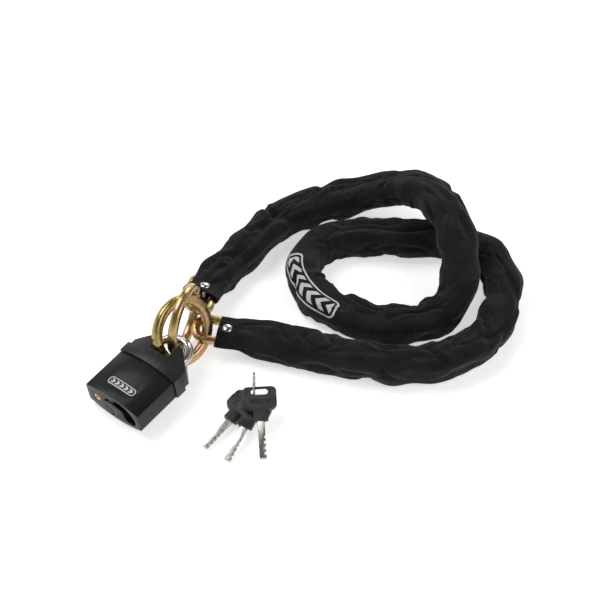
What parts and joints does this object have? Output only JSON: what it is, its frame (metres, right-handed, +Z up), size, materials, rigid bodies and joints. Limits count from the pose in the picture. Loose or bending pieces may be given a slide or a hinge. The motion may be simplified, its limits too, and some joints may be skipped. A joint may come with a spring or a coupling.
{
  "type": "chain lock",
  "caption": "Laid-out chain lock: a fabric-sleeved steel chain coiled on the ground, its end rings on the shielded shackle of a keyed padlock, with a bunch of keys beside it.",
  "frame": {"origin": "centre of the bounding box on the ground plane under the laid-out lock", "axes": "+X to the right along the longest extent, +Y away from the front, towards the back of the coil, +Z up off the ground"},
  "size_m": [0.3358, 0.2806, 0.0613],
  "materials": {
    "black_shell": "near-black satin coating with a fine grain",
    "grey_steel": "near-black coated steel with a fine grain",
    "chrome_steel": "polished plating with light scratches",
    "zinc_chain": "yellow passivated zinc with a gold, pink and green sheen",
    "brass": "turned, slightly dulled",
    "dark_slider": "matt black",
    "badge_metal": "satin plate with a plain engraved chevron, no lettering",
    "sleeve_fabric": "ribbed woven polyester, near black",
    "black_plastic": "fine moulded grain",
    "key_steel": "nickel silver, machined"
  },
  "bodies": {
    "chain": {"end_link_a": "zinc_chain", "chain_link_01": "zinc_chain", "chain_link_02": "zinc_chain", "chain_link_03": "zinc_chain", "chain_link_04": "zinc_chain", "chain_link_05": "zinc_chain", "chain_link_06": "zinc_chain", "chain_link_07": "zinc_chain", "chain_link_08": "zinc_chain", "chain_link_09": "zinc_chain", "chain_link_10": "zinc_chain", "chain_link_11": "zinc_chain", "chain_link_12": "zinc_chain", "chain_link_13": "zinc_chain", "chain_link_14": "zinc_chain", "chain_link_15": "zinc_chain", "chain_link_16": "zinc_chain", "chain_link_17": "zinc_chain", "chain_link_18": "zinc_chain", "chain_link_19": "zinc_chain", "chain_link_20": "zinc_chain", "chain_link_21": "zinc_chain", "chain_link_22": "zinc_chain", "chain_link_23": "zinc_chain", "chain_link_24": "zinc_chain", "chain_link_25": "zinc_chain", "chain_link_26": "zinc_chain", "chain_link_27": "zinc_chain", "chain_link_28": "zinc_chain", "end_link_b": "zinc_chain", "fabric_sleeve": "sleeve_fabric", "sleeve_rivet_a": "chrome_steel", "sleeve_rivet_b": "chrome_steel"},
    "front_ring": {"ring_front": "zinc_chain"},
    "rear_ring": {"ring_rear": "zinc_chain"},
    "padlock": {"lock_body": "grey_steel", "body_cover": "black_shell", "head_shroud": "grey_steel", "brass_bush": "brass", "face_badge": "badge_metal", "shackle_spring": "chrome_steel", "retaining_pin": "chrome_steel", "cylinder_housing": "brass"},
    "shackle": {"shackle": "chrome_steel"},
    "core": {"key_plug": "brass", "lock_disc_1": "brass", "lock_disc_2": "brass", "lock_disc_3": "brass", "sidebar": "chrome_steel", "locking_cam": "chrome_steel"},
    "bolt": {"locking_bolt": "chrome_steel"},
    "dust_slider": {"keyhole_slider": "dark_slider"},
    "key_bunch": {"key_ring": "key_steel"},
    "key_1": {"key_bow_1": "black_plastic", "key_blade_1": "key_steel"},
    "key_2": {"key_bow_2": "black_plastic", "key_blade_2": "key_steel"},
    "key_3": {"key_bow_3": "black_plastic", "key_blade_3": "key_steel"}
  },
  "joints": [
    {"name": "front_ring_turn", "type": "hinge", "parent": "chain", "child": "front_ring", "pos_m": [-0.09775, -0.03487, 0.0276], "axis": [0.6778, -0.6103, 0.4099], "continuous": true},
    {"name": "rear_ring_turn", "type": "hinge", "parent": "chain", "child": "rear_ring", "pos_m": [-0.0966, -0.0278, 0.0328], "axis": [0.9454, -0.3233, -0.0414], "continuous": true},
    {"name": "padlock_roll", "type": "hinge", "parent": "chain", "child": "padlock", "pos_m": [-0.11744, -0.04352, 0.02652], "axis": [0.6312, 0.7717, 0.0772], "range_deg": [-7, 0]},
    {"name": "shackle_lift", "type": "slide", "parent": "padlock", "child": "shackle", "axis": [0.6312, 0.7717, 0.0772], "range_m": [0, 0.011]},
    {"name": "core_turn", "type": "hinge", "parent": "padlock", "child": "core", "pos_m": [-0.13129, -0.10478, 0.01384], "axis": [-0.6312, -0.7717, -0.0772], "range_deg": [0, 90]},
    {"name": "bolt_slide", "type": "slide", "parent": "padlock", "child": "bolt", "axis": [0.7696, -0.6356, 0.0609], "range_m": [0, 0.00354]},
    {"name": "dust_slider_slide", "type": "slide", "parent": "padlock", "child": "dust_slider", "axis": [0.7696, -0.6356, 0.0609], "range_m": [0, 0.01]},
    {"name": "key_bunch_lift", "type": "slide", "parent": "chain", "child": "key_bunch", "axis": [0, 0, 1], "range_m": [0, 0.08]},
    {"name": "key_1_swing", "type": "hinge", "parent": "key_bunch", "child": "key_1", "pos_m": [-0.04267, -0.0859, 0.00413], "axis": [-0.0209, -0.028, 0.9994], "range_deg": [-20, 2]},
    {"name": "key_2_swing", "type": "hinge", "parent": "key_bunch", "child": "key_2", "pos_m": [-0.04267, -0.09008, 0.01183], "axis": [-0.0618, -0.1362, 0.9888], "range_deg": [-3, 5]},
    {"name": "key_3_swing", "type": "hinge", "parent": "key_bunch", "child": "key_3", "pos_m": [-0.04267, -0.08809, 0.01935], "axis": [0.0171, -0.2515, 0.9677], "range_deg": [-3, 20]}
  ],
  "couplings": [
    {"joint": "core_turn", "follows": "bolt_slide", "rad_per_m": 443.71}
  ]
}
